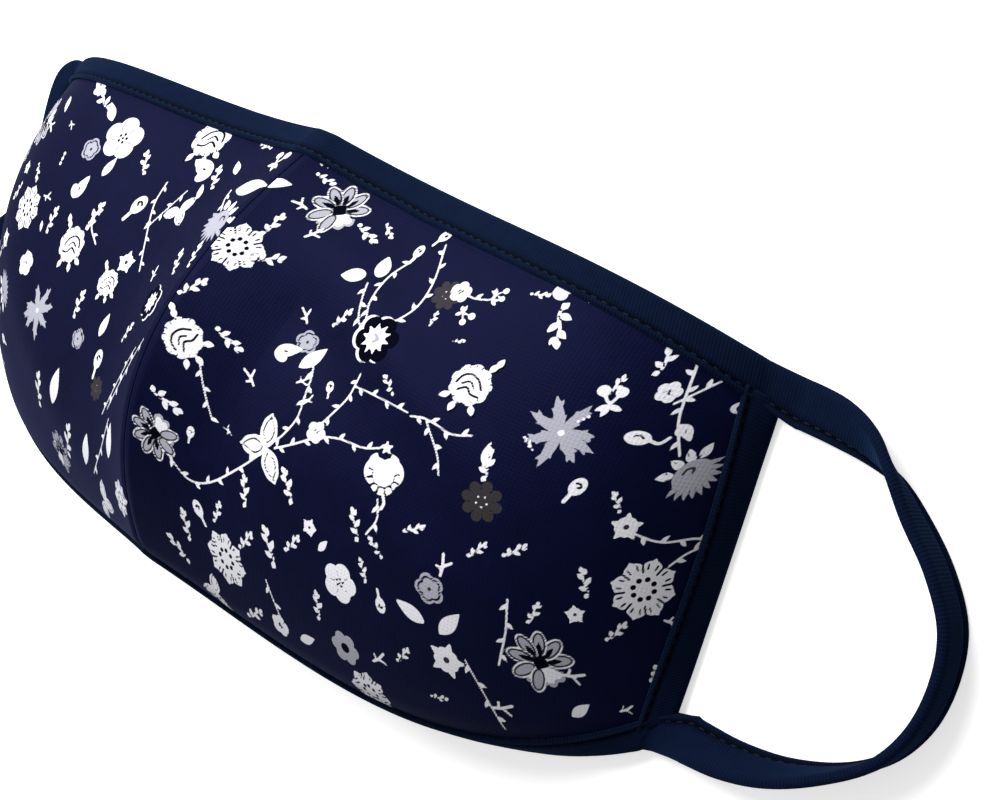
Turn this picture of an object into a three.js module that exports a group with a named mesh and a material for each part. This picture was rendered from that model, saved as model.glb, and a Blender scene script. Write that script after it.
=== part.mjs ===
// Reusable cloth face mask, lying on its rim with the domed side up and both ear loops laid out.
// Millimetres, +Z up. +X is the wearer's left, +Y the nose edge, +Z the outside of the cloth.
import * as THREE from 'three';

// ---- Driving dimensions ----
const gap = 0.3; // between neighbouring pieces
const wall = 1.4; // outer and inner cotton sewn together
const leaf = 0.8; // one layer of the knit tape
const ease = 0.4; // between the tape and the cotton it is folded over
const tapeReach = 6.7; // how far each leaf reaches over the cotton
const loopWidth = 9.5; // the tape folded on itself, past the cotton
const loopThickness = 2.2;

// The centre seam in the plane X = 0: ends, handle lengths and the handles' angles above -Y.
const nose = { y: 50.5, z: 18.5, reach: 43, lift: 44 };
const chin = { y: -56.5, z: 31, reach: 57, lift: 140 };

// The ear edge, a straight line just above the table.
const earTop = { x: 119, y: 40 };
const earBottom = { x: 122, y: -34.5 };
const earHeight = 1.5;

// The half panel runs in smooth arcs from the centre seam to the ear edge. Three of them are given:
//   run, fall, swing   length of the handle at the seam, its angle below level, its angle to +Y
//   drop, steep, lead  length of the handle at the ear edge, its angle above the table, its angle to +Y
const arcs = [
  { name: 'nose edge', run: 54, fall: 16, swing: -8, drop: 53, steep: 37, lead: 13 },
  { name: 'cheek', run: 47, fall: 27, swing: -8, drop: 48, steep: 72, lead: -11 },
  { name: 'chin edge', run: 48, fall: 19, swing: -8, drop: 46, steep: 18, lead: -46 },
];

// The chin edge is tucked under: the last stretch of the cloth turns down and in, less by the ear.
const tuck = { depth: 13, turn: 68, fade: 4 };

// Soft hollows (negative) and folds (positive) in the cloth. Places are shares of the half panel,
// length and width are shares too, turn is the angle of the long way, height is in millimetres.
const folds = {
  left: [
    { name: 'seam hollow', across: 0.16, down: 0.5, length: 0.3, width: 0.1, turn: 80, height: -2.2 },
    { name: 'cheek fold', across: 0.36, down: 0.3, length: 0.3, width: 0.06, turn: 150, height: 1.4 },
  ],
  right: [
    { name: 'seam hollow', across: 0.2, down: 0.4, length: 0.3, width: 0.12, turn: 70, height: -1.8 },
    { name: 'chin fold', across: 0.45, down: 0.65, length: 0.3, width: 0.08, turn: 40, height: 1.2 },
  ],
};

// The middle of each ear loop as it lies on the table, from the nose corner round to the chin corner
// (x is mirrored for the right one). lean is how far the tape is tipped up on its stitched edge.
const loops = {
  left: [
    { x: 121.6, y: 37, lean: 0 },
    { x: 128, y: 37.2, lean: 5 },
    { x: 135, y: 37, lean: 18 },
    { x: 142, y: 35.8, lean: 43 },
    { x: 148.5, y: 32.6, lean: 72 },
    { x: 155, y: 27.3, lean: 88 },
    { x: 162.5, y: 20.8, lean: 90 },
    { x: 168.3, y: 13, lean: 90 },
    { x: 170.4, y: 4, lean: 90 },
    { x: 169.6, y: -5.5, lean: 90 },
    { x: 165.5, y: -14, lean: 88 },
    { x: 158, y: -20.8, lean: 84 },
    { x: 148.5, y: -26.2, lean: 70 },
    { x: 139, y: -29.2, lean: 54 },
    { x: 131, y: -30.4, lean: 40 },
    { x: 124.8, y: -31.2, lean: 18 },
  ],
  right: [
    { x: 121.6, y: 37, lean: 0 },
    { x: 124.6, y: 37, lean: 0 },
    { x: 128, y: 34.2, lean: 0 },
    { x: 129, y: 28, lean: 0 },
    { x: 128.7, y: 17.5, lean: 0 },
    { x: 129, y: 8, lean: 0 },
    { x: 130, y: -1, lean: 4 },
    { x: 133, y: -9.5, lean: 14 },
    { x: 138.5, y: -16, lean: 40 },
    { x: 146, y: -19.5, lean: 72 },
    { x: 153.5, y: -22.5, lean: 88 },
    { x: 159, y: -28, lean: 90 },
    { x: 159.5, y: -35, lean: 90 },
    { x: 154, y: -39.5, lean: 88 },
    { x: 145.5, y: -39.5, lean: 74 },
    { x: 136, y: -36, lean: 46 },
    { x: 130, y: -32.5, lean: 26 },
    { x: 124.8, y: -31.2, lean: 14 },
  ],
};

const panelSteps = 22; // from the seam to the ear
const openRows = { steps: 14, end: 0.86 }; // from the nose edge to where the chin edge tucks under
const tuckRows = 8;
const sideSteps = 14;
const loopSteps = 44;
const flip = { left: 1, right: -1 };

const radians = THREE.MathUtils.degToRad;
const vector = (x, y, z) => new THREE.Vector3(x, y, z);

// ---- The cloth's middle surface ----
function seamHandle({ y, z, reach, lift }) {
  return vector(0, y - reach * Math.cos(radians(lift)), z + reach * Math.sin(radians(lift)));
}

const seam = new THREE.CubicBezierCurve3(
  vector(0, nose.y, nose.z),
  seamHandle(nose),
  seamHandle(chin),
  vector(0, chin.y, chin.z),
);

// A column of the table of arcs, carried smoothly from the nose edge over the cheek to the chin edge.
function between(column, down) {
  const [top, middle, bottom] = arcs.map((arc) => arc[column]);
  return top * (1 - down) * (1 - 2 * down) + middle * 4 * down * (1 - down) + bottom * down * (2 * down - 1);
}

// A point of the left half: across is 0 at the seam and 1 at the ear, down is 0 at the nose edge.
function openPoint(across, down) {
  const start = seam.getPoint(down);
  const end = vector(
    THREE.MathUtils.lerp(earTop.x, earBottom.x, down),
    THREE.MathUtils.lerp(earTop.y, earBottom.y, down),
    earHeight,
  );
  const [fall, swing] = [radians(between('fall', down)), radians(between('swing', down))];
  const [steep, lead] = [radians(between('steep', down)), radians(between('lead', down))];
  const leaving = vector(Math.cos(fall) * Math.cos(swing), Math.sin(swing), -Math.sin(fall));
  const arriving = vector(-Math.cos(steep) * Math.cos(lead), Math.sin(lead), Math.sin(steep));
  const arc = new THREE.CubicBezierCurve3(
    start,
    start.clone().addScaledVector(leaving, between('run', down)),
    end.clone().addScaledVector(arriving, between('drop', down)),
    end,
  );
  return arc.getPoint(across);
}

// The same with the chin edge tucked under, along a round bend.
function smoothPoint(across, down) {
  const perShare = openPoint(across, 1).distanceTo(openPoint(across, 0.9)) / 0.1;
  const start = 1 - tuck.depth / perShare;
  if (down <= start) return openPoint(across, down);
  const step = 0.01;
  const point = openPoint(across, start);
  const along = openPoint(across, start + step).sub(openPoint(across, start - step)).normalize();
  const sideways = openPoint(across + step, start).sub(openPoint(across - step, start));
  const out = along.clone().cross(sideways).normalize();
  out.x *= THREE.MathUtils.smoothstep(across, 0, 0.15); // the seam keeps to its plane
  out.normalize();
  const turn = radians(tuck.turn) * (1 - THREE.MathUtils.clamp(across, 0, 1) ** tuck.fade) + 1e-4;
  const radius = tuck.depth / turn;
  const angle = ((down - start) * perShare) / radius;
  return point
    .addScaledVector(along, radius * Math.sin(angle))
    .addScaledVector(out, radius * (Math.cos(angle) - 1));
}

function smoothNormal(across, down) {
  const step = 1e-3;
  const alongX = smoothPoint(across + step, down).sub(smoothPoint(across - step, down));
  const alongY = smoothPoint(across, down - step).sub(smoothPoint(across, down + step));
  return alongX.cross(alongY).normalize();
}

// Hollows and folds die out towards every edge, where the cloth is sewn down.
function foldHeight(side, across, down) {
  const hold = Math.min(1, 2 * Math.sin(Math.PI * across)) * Math.min(1, 2 * Math.sin(Math.PI * down));
  const heights = folds[side].map((fold) => {
    const [dx, dy] = [across - fold.across, down - fold.down];
    const turn = radians(fold.turn);
    const along = (dx * Math.cos(turn) - dy * Math.sin(turn)) / fold.length;
    const over = (dx * Math.sin(turn) + dy * Math.cos(turn)) / fold.width;
    return fold.height * Math.exp(-along * along - over * over);
  });
  return hold * heights.reduce((sum, height) => sum + height, 0);
}

function clothPoint(side, across, down) {
  const smooth = smoothPoint(across, down);
  const height = foldHeight(side, across, down);
  return height === 0 ? smooth : smooth.addScaledVector(smoothNormal(across, down), height);
}

// Middle-surface point and outward normal, on the side asked for. On the seam the normal keeps to
// the plane X = 0, so that both halves meet there.
function clothFrame(side, across, down) {
  const step = 1e-3;
  const point = clothPoint(side, across, down);
  const alongX = clothPoint(side, across + step, down).sub(point);
  const alongY = clothPoint(side, across, down - step).sub(clothPoint(side, across, down + step));
  const out = alongX.cross(alongY);
  if (across === 0) out.x = 0;
  out.normalize();
  point.x += gap / 2;
  point.x *= flip[side];
  out.x *= flip[side];
  return { point, out };
}

// ---- Solids ----
// A closed wall between two grids of points, front[i][j] and back[i][j].
function wallBetween(front, back) {
  const [rows, columns] = [front.length, front[0].length];
  const positions = [...front.flat(), ...back.flat()].flatMap((point) => point.toArray());
  const at = (layer, i, j) => (layer * rows + i) * columns + j;
  const index = [];
  const quad = (a, b, c, d) => index.push(a, b, c, a, c, d);
  for (let i = 0; i < rows - 1; i += 1) {
    for (let j = 0; j < columns - 1; j += 1) {
      quad(at(0, i, j), at(0, i, j + 1), at(0, i + 1, j + 1), at(0, i + 1, j));
      quad(at(1, i, j), at(1, i + 1, j), at(1, i + 1, j + 1), at(1, i, j + 1));
    }
    quad(at(0, i, 0), at(0, i + 1, 0), at(1, i + 1, 0), at(1, i, 0));
    quad(at(0, i, columns - 1), at(1, i, columns - 1), at(1, i + 1, columns - 1), at(0, i + 1, columns - 1));
  }
  for (let j = 0; j < columns - 1; j += 1) {
    quad(at(0, 0, j), at(1, 0, j), at(1, 0, j + 1), at(0, 0, j + 1));
    quad(at(0, rows - 1, j), at(0, rows - 1, j + 1), at(1, rows - 1, j + 1), at(1, rows - 1, j));
  }
  const geometry = new THREE.BufferGeometry();
  geometry.setAttribute('position', new THREE.Float32BufferAttribute(positions, 3));
  geometry.setIndex(volumeOf(positions, index) > 0 ? index : index.reverse());
  geometry.computeVertexNormals();
  return geometry;
}

function volumeOf(positions, index) {
  const corner = (i) => vector(...positions.slice(3 * index[i], 3 * index[i] + 3));
  let volume = 0;
  for (let i = 0; i < index.length; i += 3) {
    volume += corner(i).dot(corner(i + 1).cross(corner(i + 2))) / 6;
  }
  return volume;
}

const share = (count) => Array.from({ length: count + 1 }, (_, i) => i / count);

function panel(side) {
  const rows = [
    ...share(openRows.steps).map((part) => openRows.end * part),
    ...share(tuckRows).slice(1).map((part) => THREE.MathUtils.lerp(openRows.end, 1, part)),
  ];
  const frames = rows.map((down) => share(panelSteps).map((across) => clothFrame(side, across, down)));
  const face = (height) =>
    frames.map((row) => row.map(({ point, out }) => point.clone().addScaledVector(out, height)));
  return wallBetween(face(wall / 2), face(-wall / 2));
}

// ---- Tape folded over an edge of the cotton ----
// From the end of the front leaf round the fold to the end of the back leaf, at a radius from the
// cotton's middle: how far inward of the cotton's edge, and how far out from its middle surface.
function foldPath(radius, turnSteps, leafSteps) {
  const turns = share(turnSteps).map((part) => ({
    inward: -radius * Math.sin(Math.PI * part),
    out: radius * Math.cos(Math.PI * part),
  }));
  const reaches = share(leafSteps).slice(1).map((part) => part * tapeReach);
  return [
    ...reaches.map((inward) => ({ inward, out: radius })).reverse(),
    ...turns,
    ...reaches.map((inward) => ({ inward, out: -radius })),
  ];
}

// Where an edge lies on the half panel: place runs along it, in is the share of the panel inward.
const edges = {
  nose: (place, inward) => [place, inward],
  chin: (place, inward) => [place, 1 - inward],
  ear: (place, inward) => [1 - inward, place],
};

function tapePoint(edge, { side, place }, { inward, out }) {
  const probe = 0.02;
  const rim = clothFrame(side, ...edges[edge](place, 0));
  const beside = clothFrame(side, ...edges[edge](place, probe));
  const perShare = rim.point.distanceTo(beside.point) / probe;
  const { point, out: normal } = clothFrame(side, ...edges[edge](place, Math.abs(inward) / perShare));
  if (inward < 0) {
    point.copy(rim.point.clone().multiplyScalar(2).sub(point));
    normal.copy(rim.out);
  }
  point.addScaledVector(normal, out);
  if (edge !== 'ear' && place === 0) point.x = 0;
  point.z = Math.max(point.z, 0); // flattened where it rests
  return point;
}

function tape(edge, places) {
  const inner = wall / 2 + ease;
  const turnSteps = edge === 'ear' ? 6 : 4;
  const leafSteps = edge === 'chin' ? 4 : 2;
  const layer = (radius) => places.map((place) =>
    foldPath(radius, turnSteps, leafSteps).map((step) => tapePoint(edge, place, step)));
  return wallBetween(layer(inner + leaf), layer(inner));
}

// The nose and chin tapes run from ear to ear over the seam.
const earToEar = [
  ...share(panelSteps).reverse().map((place) => ({ side: 'right', place })),
  ...share(panelSteps).slice(1).map((place) => ({ side: 'left', place })),
];

// The ear tape runs between them.
function besideEar(side) {
  const length = Math.hypot(earBottom.x - earTop.x, earBottom.y - earTop.y);
  const end = (tapeReach + gap) / length;
  return share(sideSteps).map((part) => ({ side, place: THREE.MathUtils.lerp(end, 1 - end, part) }));
}

// ---- Ear loops ----
// The tape's section, folded flat on itself: how far across it, and how thick there.
const loopSection = [
  { across: -0.5, thick: 0.45 },
  { across: -0.4, thick: 1 },
  { across: 0, thick: 1 },
  { across: 0.4, thick: 1 },
  { across: 0.5, thick: 0.45 },
];

function earLoop(side) {
  const stops = loops[side].map(({ x, y, lean }) => vector(x, y, lean));
  const route = new THREE.CatmullRomCurve3(stops, false, 'catmullrom');
  const layer = (height) => share(loopSteps).map((part) => {
    const { x, y, z: lean } = route.getPoint(part);
    const ahead = route.getTangent(part).setZ(0).normalize();
    const away = vector(-ahead.y, ahead.x, 0); // from the ear opening to the outside of the loop
    const [cos, sin] = [Math.cos(radians(lean)), Math.sin(radians(lean))];
    const acrossTape = away.clone().multiplyScalar(cos).setZ(sin);
    const outOfTape = away.clone().multiplyScalar(-sin).setZ(cos);
    const middle = vector(x, y, (loopWidth / 2) * sin + (loopThickness / 2) * cos);
    return loopSection.map(({ across, thick }) => {
      const point = middle.clone()
        .addScaledVector(acrossTape, across * loopWidth)
        .addScaledVector(outOfTape, height * thick * loopThickness);
      point.x *= flip[side];
      point.z = Math.max(point.z, 0);
      return point;
    });
  });
  return wallBetween(layer(0.5), layer(-0.5));
}

// ---- Materials ----
const printedCotton = new THREE.MeshStandardMaterial({ color: 0x14163f, roughness: 0.92 });
const knitTape = new THREE.MeshStandardMaterial({ color: 0x0f2248, roughness: 0.95 });

// ---- The mask ----
const mask = new THREE.Group();

function add(name, geometry, material) {
  const mesh = new THREE.Mesh(geometry, material);
  mesh.name = name;
  mask.add(mesh);
}

for (const side of ['left', 'right']) {
  add(`panel_${side}`, panel(side), printedCotton);
  add(`side_binding_${side}`, tape('ear', besideEar(side)), knitTape);
  add(`ear_loop_${side}`, earLoop(side), knitTape);
}
add('top_binding', tape('nose', earToEar), knitTape);
add('bottom_binding', tape('chin', earToEar), knitTape);

export default mask;
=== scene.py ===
import math
from functools import partial

import bmesh
import bpy
import numpy as np
from mathutils import Matrix, Vector


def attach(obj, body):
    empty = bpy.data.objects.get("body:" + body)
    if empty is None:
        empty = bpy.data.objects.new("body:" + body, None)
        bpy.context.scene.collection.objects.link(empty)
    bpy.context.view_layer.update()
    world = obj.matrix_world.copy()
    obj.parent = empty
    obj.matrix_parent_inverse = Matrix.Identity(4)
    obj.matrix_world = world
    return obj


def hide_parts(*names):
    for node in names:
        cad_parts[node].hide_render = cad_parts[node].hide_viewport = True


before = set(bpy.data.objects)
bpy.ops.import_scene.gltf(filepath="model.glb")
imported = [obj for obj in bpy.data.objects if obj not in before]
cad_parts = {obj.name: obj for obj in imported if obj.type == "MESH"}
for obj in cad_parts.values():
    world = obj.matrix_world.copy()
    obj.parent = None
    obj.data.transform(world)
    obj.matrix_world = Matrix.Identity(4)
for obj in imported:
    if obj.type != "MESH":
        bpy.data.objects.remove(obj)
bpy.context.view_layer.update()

scene = bpy.context.scene

# Camera. It looks down on the wearer's left cheek from beyond the left ear, turned so that the
# nose edge runs across the top.
aim = Vector((0.072, 0.016, 0.020))
azimuth, height, roll = math.radians(108.7), math.radians(50.1), math.radians(-86.2)
away = Vector((math.sin(azimuth) * math.cos(height), -math.cos(azimuth) * math.cos(height), math.sin(height)))
level = (-away).cross(Vector((0, 0, 1))).normalized()
upright = level.cross(-away)
camera_right = level * math.cos(roll) + upright * math.sin(roll)
camera_up = upright * math.cos(roll) - level * math.sin(roll)
camera_distance = 0.311
camera = bpy.data.objects.new("camera", bpy.data.cameras.new("camera"))
camera.data.lens = 56.3
camera.data.sensor_width = 36
camera.data.clip_start = 0.01
facing = Matrix((camera_right, camera_up, away)).transposed().to_4x4()
camera.matrix_world = Matrix.Translation(aim + away * camera_distance) @ facing
scene.collection.objects.link(camera)
scene.camera = camera

# Printed halves. Each is woven cotton, cut in a curve and sewn to the other down the centre, and
# lined with plain navy cotton. "Across" runs from the seam (0) to the ear edge (1) and "down" from
# the nose edge (0) to the chin edge (1). Lengths are in millimetres until a piece is made.
mm = 0.001
side_sign = {"left": 1, "right": -1}
cotton_thickness = 1.4
half_gap = 0.15
nose = {"y": 50.5, "z": 18.5, "reach": 43, "lift": 44}
chin = {"y": -56.5, "z": 31, "reach": 57, "lift": 140}
tuck = {"depth": 13, "turn": 68, "fade": 4}  # the chin edge turns down and in, less by the ear
ear_top, ear_bottom, ear_height = (119, 40), (122, -34.5), 1.5
# How the cloth runs out from the seam to the ear edge, along three lines.
arcs = [
    # run, fall, swing, drop, steep, lead
    (54, 16, -8, 53, 37, 13),    # nose edge
    (47, 27, -8, 48, 72, -11),   # cheek
    (48, 19, -8, 46, 18, -46),   # chin edge
]
# Soft hollows and folds: place across and down, length, width, turn in degrees, height.
folds = {
    "left": [
        (0.16, 0.50, 0.30, 0.10, 80, -2.6),
        (0.36, 0.30, 0.30, 0.06, 150, 1.9),
        (0.20, 0.34, 0.20, 0.05, 150, -1.1),
        (0.12, 0.10, 0.04, 0.06, 0, -0.9),
        (0.27, 0.08, 0.04, 0.07, 20, -0.8),
        (0.55, 0.62, 0.25, 0.06, 165, 0.7),
    ],
    "right": [
        (0.20, 0.40, 0.30, 0.12, 70, -1.8),
        (0.45, 0.65, 0.30, 0.08, 40, 1.2),
    ],
}


def handle(end):
    """The point that sets which way the seam leaves one of its ends."""
    lift = math.radians(end["lift"])
    reach = end["reach"]
    return np.array([0, end["y"] - reach * math.cos(lift), end["z"] + reach * math.sin(lift)])


def bezier(p0, p1, p2, p3, t):
    return p0 * (1 - t) ** 3 + 3 * p1 * t * (1 - t) ** 2 + 3 * p2 * t * t * (1 - t) + p3 * t ** 3


def open_cloth(across, down):
    """The dome before its chin edge is tucked under."""
    start = bezier(np.array([0, nose["y"], nose["z"]]), handle(nose), handle(chin),
                   np.array([0, chin["y"], chin["z"]]), down[..., None])
    end = np.stack([ear_top[0] + (ear_bottom[0] - ear_top[0]) * down,
                    ear_top[1] + (ear_bottom[1] - ear_top[1]) * down,
                    ear_height + 0 * down], -1)
    share = np.stack([(1 - down) * (1 - 2 * down), 4 * down * (1 - down), down * (2 * down - 1)], -1)
    run, fall, swing, drop, steep, lead = np.moveaxis(share @ np.array(arcs, float), -1, 0)
    fall, swing, steep, lead = (np.radians(x) for x in (fall, swing, steep, lead))
    leaving = np.stack([np.cos(fall) * np.cos(swing), np.sin(swing), -np.sin(fall)], -1)
    arriving = np.stack([-np.cos(steep) * np.cos(lead), np.sin(lead), np.sin(steep)], -1)
    out_from_seam = start + leaving * run[..., None]
    down_to_edge = end + arriving * drop[..., None]
    return bezier(start, out_from_seam, down_to_edge, end, across[..., None])


def unit(vectors):
    return vectors / np.linalg.norm(vectors, axis=-1, keepdims=True)


def smooth_cloth(across, down):
    """The same cloth with its chin edge tucked under in a round bend."""
    edge = np.ones_like(down)
    near_edge = 0.1
    last_part = open_cloth(across, edge) - open_cloth(across, (1 - near_edge) * edge)
    per_share = np.linalg.norm(last_part, axis=-1) / near_edge
    start = 1 - tuck["depth"] / per_share
    step = 0.01
    along = unit(open_cloth(across, start + step) - open_cloth(across, start - step))
    out = unit(np.cross(along, open_cloth(across + step, start) - open_cloth(across - step, start)))
    seam_zone = 0.15
    near_seam = np.clip(across / seam_zone, 0, 1)
    out[..., 0] *= near_seam ** 2 * (3 - 2 * near_seam)
    turn = math.radians(tuck["turn"]) * (1 - np.clip(across, 0, 1) ** tuck["fade"]) + 1e-4
    radius = tuck["depth"] / turn
    angle = np.maximum(down - start, 0) * per_share / radius
    tucked = (open_cloth(across, start) + along * (radius * np.sin(angle))[..., None]
              + unit(out) * (radius * (np.cos(angle) - 1))[..., None])
    return np.where((down > start)[..., None], tucked, open_cloth(across, down))


def cloth_and_out(point_at, across, down):
    """A point of the cloth and the direction square to it."""
    step = 1e-3
    out = np.cross(point_at(across + step, down) - point_at(across - step, down),
                   point_at(across, down - step) - point_at(across, down + step))
    return point_at(across, down), out


def fold_height(side, across, down):
    """How high the folds stand. They die away at the seam and the edges, which are sewn."""
    hold = (np.minimum(1, 2 * np.sin(np.pi * np.clip(across, 0, 1)))
            * np.minimum(1, 2 * np.sin(np.pi * np.clip(down, 0, 1))))
    total = 0 * across
    for at_across, at_down, length, width, turn, rise in folds[side]:
        dx, dy, turn = across - at_across, down - at_down, math.radians(turn)
        along = (dx * math.cos(turn) - dy * math.sin(turn)) / length
        over = (dx * math.sin(turn) + dy * math.cos(turn)) / width
        total = total + rise * np.exp(-along ** 2 - over ** 2)
    return hold * total


def cloth(side, across, down):
    """Points on the middle of the cotton and the way out of its face, in millimetres."""
    across, down = np.broadcast_arrays(np.asarray(across, float), np.asarray(down, float))

    def folded(a, d):
        point, out = cloth_and_out(smooth_cloth, a, d)
        return point + unit(out) * fold_height(side, a, d)[..., None]

    point, out = cloth_and_out(folded, across, down)
    out[..., 0] = np.where(across <= 0, 0, out[..., 0])
    out = unit(out)
    point[..., 0] += half_gap
    point[..., 0] *= side_sign[side]
    out[..., 0] *= side_sign[side]
    return point, out


def grid_mesh(bm, columns, rows):
    """A flat grid of the wanted size, with its vertices returned as [row][column]."""
    made = bmesh.ops.create_grid(bm, x_segments=columns, y_segments=rows, size=0.5)["verts"]
    grid = [[None] * (columns + 1) for _ in range(rows + 1)]
    for vertex in made:
        grid[round((0.5 - vertex.co.y) * rows)][round((vertex.co.x + 0.5) * columns)] = vertex
    return grid


def rims(grid):
    """The grid's nose, chin, seam and ear edges."""
    return grid[0], grid[-1], [row[0] for row in grid], [row[-1] for row in grid]


def link(name, bm):
    mesh = bpy.data.meshes.new(name)
    bm.to_mesh(mesh)
    bm.free()
    mesh.polygons.foreach_set("use_smooth", np.ones(len(mesh.polygons), bool))
    thing = bpy.data.objects.new(name, mesh)
    scene.collection.objects.link(thing)
    return thing


middle_drop = 4.3  # the tucked chin edge moves the cotton's middle line down, least by the ear


def pattern_place(columns, rows):
    """Where each grid point lies on the flat cotton: out from the seam, up from the middle line."""
    across, down = np.meshgrid(np.linspace(0, 1, columns + 1), np.linspace(0, 1, rows + 1))
    point = smooth_cloth(across, down)
    steps = np.linalg.norm(np.diff(point, axis=1), axis=2)
    out = np.concatenate([np.zeros((rows + 1, 1)), np.cumsum(steps, 1)], 1)
    depth = np.linalg.norm(np.diff(point, axis=0), axis=2).sum(0)
    return out, (0.5 - down) * depth - middle_drop * (1 - across ** 4)


# How finely the face and the lining are divided, across and down.
fine, coarse = (360, 252), (60, 42)
seam_reach, seam_sink = 0.9, 0.55  # how wide and how deep the cotton dips into the centre seam
cotton_map_width = 150


def printed_half(side):
    """One half with its face, its lining and the cut edge between, and where each point of it
    lies on the flat cotton."""
    bm = bmesh.new()
    flat_places, faces = [], []
    for (columns, rows), height in ((fine, cotton_thickness / 2), (coarse, -cotton_thickness / 2)):
        grid = grid_mesh(bm, columns, rows)
        across, down = np.meshgrid(np.linspace(0, 1, columns + 1), np.linspace(0, 1, rows + 1))
        point, out = cloth(side, across, down)
        place_out, place_up = pattern_place(columns, rows)
        # The face turns in to the seam, where the two halves are stitched together behind it.
        turned_in = np.exp(-(place_out / seam_reach) ** 2)
        point = point + out * (height - np.sign(height) * seam_sink * turned_in)[..., None]
        for row, points in zip(grid, point * mm):
            for vertex, co in zip(row, points):
                vertex.co = co
        faces.append(grid)
        flat_places.append((place_out, place_up))
    bm.verts.index_update()
    ratio = fine[0] // coarse[0]
    middle = ratio // 2
    for fine_rim, coarse_rim in zip(*(rims(grid) for grid in faces)):
        for k in range(len(coarse_rim) - 1):
            run = fine_rim[k * ratio:(k + 1) * ratio + 1]
            for i in range(ratio):
                bm.faces.new((run[i], run[i + 1], coarse_rim[k if i < middle else k + 1]))
            bm.faces.new((run[middle], coarse_rim[k], coarse_rim[k + 1]))
    bmesh.ops.recalc_face_normals(bm, faces=bm.faces)
    order = [v.index for grid in faces for row in grid for v in row]
    thing = link(f"printed_half_{side}", bm)
    place = np.zeros((len(order), 2))
    place[order] = np.concatenate([np.stack(p, -1).reshape(-1, 2) for p in flat_places])
    is_face = np.zeros(len(order), bool)
    is_face[order[:len(order) - (coarse[0] + 1) * (coarse[1] + 1)]] = True
    corners = np.empty(len(thing.data.loops), np.int32)
    thing.data.loops.foreach_get("vertex_index", corners)
    uv = thing.data.uv_layers.new(name="cotton")
    uv.data.foreach_set("uv", (place[corners] / cotton_map_width + 0.5).astype(np.float32).ravel())
    return thing, place, is_face


# The print. Four inks on the navy cotton. Each flower below is drawn as simple shapes. A shape gives each
# place's distance from its outline, less than nothing inside.
INKS = {
    "white": (0.78, 0.78, 0.82, 1),
    "grey": (0.37, 0.37, 0.43, 1),
    "brown": (0.032, 0.028, 0.027, 1),
    "black": (0.0015, 0.0015, 0.004, 1),
}
far_off = 9.0


def catmull(points, count):
    """A smooth way through the points, or through rows of points."""
    points = np.asarray(points, float)
    points = np.concatenate([[2 * points[0] - points[1]], points, [2 * points[-1] - points[-2]]])
    t = np.linspace(0, len(points) - 3, count)
    k = np.minimum(t.astype(int), len(points) - 4)
    f = (t - k).reshape((-1,) + (1,) * (points.ndim - 1))
    p0, p1, p2, p3 = (points[k + i] for i in range(4))
    return 0.5 * (2 * p1 + (p2 - p0) * f + (2 * p0 - 5 * p1 + 4 * p2 - p3) * f ** 2
                  + (3 * p1 - p0 - 3 * p2 + p3) * f ** 3)


def heading(turn):
    return math.cos(math.radians(turn)), math.sin(math.radians(turn))


def turned(x, y, turn):
    """The same places measured along and across a turned direction."""
    c, s = heading(turn)
    return x * c + y * s, y * c - x * s


def disc(x, y, at_x, at_y, radius):
    return np.hypot(x - at_x, y - at_y) - radius


def oval(x, y, at_x, at_y, long, wide, turn=0):
    u, v = turned(x - at_x, y - at_y, turn)
    return (np.hypot(u / long, v / wide) - 1) * min(long, wide)


def leaf(x, y, at_x, at_y, length, width, turn):
    """A leaf pointed at both ends, starting at a point."""
    u, v = turned(x - at_x, y - at_y, turn)
    share = np.clip(u / length, 0, 1)
    return np.maximum(np.abs(v) - width * np.sin(np.pi * share ** 0.8), np.maximum(-u, u - length))


def round_flower(x, y, petals, radius, notch, turn=0, pointed=False):
    """A scalloped outline of some petals, with notches cut in between them."""
    angle = petals * (np.arctan2(y, x) - math.radians(turn)) / 2
    lobe = 1 - np.abs(np.sin(angle)) if pointed else np.abs(np.cos(angle)) ** 0.7
    return np.hypot(x, y) - radius * (1 - notch + notch * lobe)


def rays(x, y, count, inner, outer, half, turn=0):
    """Short dashes standing round a centre."""
    step = 2 * math.pi / count
    angle = np.arctan2(y, x) - math.radians(turn)
    off = (angle + step / 2) % step - step / 2
    reach = np.hypot(x, y)
    along = np.clip(reach * np.cos(off), inner, outer)
    return np.hypot(reach * np.cos(off) - along, reach * np.sin(off)) - half


def dots(x, y, count, ring, radius, turn=0):
    return rays(x, y, count, ring, ring, radius, turn)


def line(x, y, points, half):
    """A line of one width, drawn smoothly through its points."""
    near = np.full(x.shape, far_off)
    way = catmull(points, 5 * len(points)) if len(points) > 2 else points
    for (ax, ay), (bx, by) in zip(way, way[1:]):
        length_squared = max((bx - ax) ** 2 + (by - ay) ** 2, 1e-9)
        share = np.clip(((x - ax) * (bx - ax) + (y - ay) * (by - ay)) / length_squared, 0, 1)
        near = np.minimum(near, np.hypot(x - ax - share * (bx - ax), y - ay - share * (by - ay)))
    return near - half


# Each flower is a list of inks laid one over another, measured from its middle in shares of its
# radius. "ground" leaves the navy cotton bare.
def daisy(x, y):
    yield "white", round_flower(x, y, 8, 0.95, 0.17)
    yield "white", round_flower(x, y, 8, 1.04, 0.28, pointed=True)
    yield "black", rays(x, y, 8, 0.56, 0.80, 0.034, 22.5)
    for turn in (-10, 10):
        yield "black", rays(x, y, 8, 0.66, 0.82, 0.030, turn)
    yield "black", dots(x, y, 8, 0.33, 0.085)


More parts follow.
